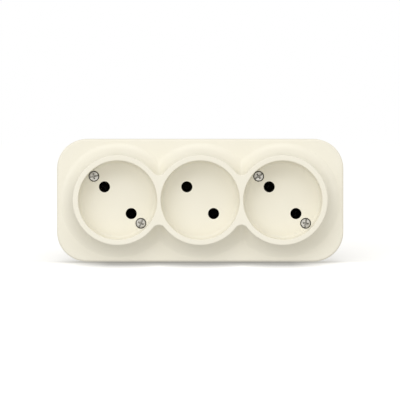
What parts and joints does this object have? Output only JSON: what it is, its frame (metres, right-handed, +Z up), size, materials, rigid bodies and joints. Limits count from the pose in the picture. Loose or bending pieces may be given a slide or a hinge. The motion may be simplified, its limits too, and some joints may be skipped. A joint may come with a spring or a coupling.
{
  "type": "triple socket",
  "caption": "Surface-mounted wall outlet: round two-pin sockets in a row in one ivory cover, over a base with brass contacts.",
  "frame": {"origin": "middle of the face that lies against the wall", "axes": "+X to the right seen from the front, +Y into the wall, +Z up"},
  "size_m": [0.1446, 0.035, 0.0622],
  "materials": {
    "ivory_plastic": "satin moulded plastic",
    "base_plastic": "plain moulded plastic",
    "brass": "stamped and rolled",
    "spring_steel": "tempered",
    "plated_steel": "nickel plated",
    "zinc_steel": "zinc plated"
  },
  "bodies": {
    "root": {"cover": "ivory_plastic", "base_plate": "base_plastic", "bus_bar_upper": "brass", "bus_bar_lower": "brass", "contact_clip_left_upper": "brass", "clip_spring_left_upper": "spring_steel", "rivet_left_upper": "plated_steel", "contact_clip_left_lower": "brass", "clip_spring_left_lower": "spring_steel", "rivet_left_lower": "plated_steel", "contact_clip_middle_upper": "brass", "clip_spring_middle_upper": "spring_steel", "rivet_middle_upper": "plated_steel", "contact_clip_middle_lower": "brass", "clip_spring_middle_lower": "spring_steel", "rivet_middle_lower": "plated_steel", "contact_clip_right_upper": "brass", "clip_spring_right_upper": "spring_steel", "rivet_right_upper": "plated_steel", "contact_clip_right_lower": "brass", "clip_spring_right_lower": "spring_steel", "rivet_right_lower": "plated_steel", "cover_screw_left_upper": "zinc_steel", "threaded_insert_left_upper": "brass", "cover_screw_left_lower": "zinc_steel", "threaded_insert_left_lower": "brass", "cover_screw_right_upper": "zinc_steel", "threaded_insert_right_upper": "brass", "cover_screw_right_lower": "zinc_steel", "threaded_insert_right_lower": "brass", "terminal_block_upper": "brass", "terminal_screw_upper": "zinc_steel", "terminal_block_lower": "brass", "terminal_screw_lower": "zinc_steel"}
  },
  "joints": []
}
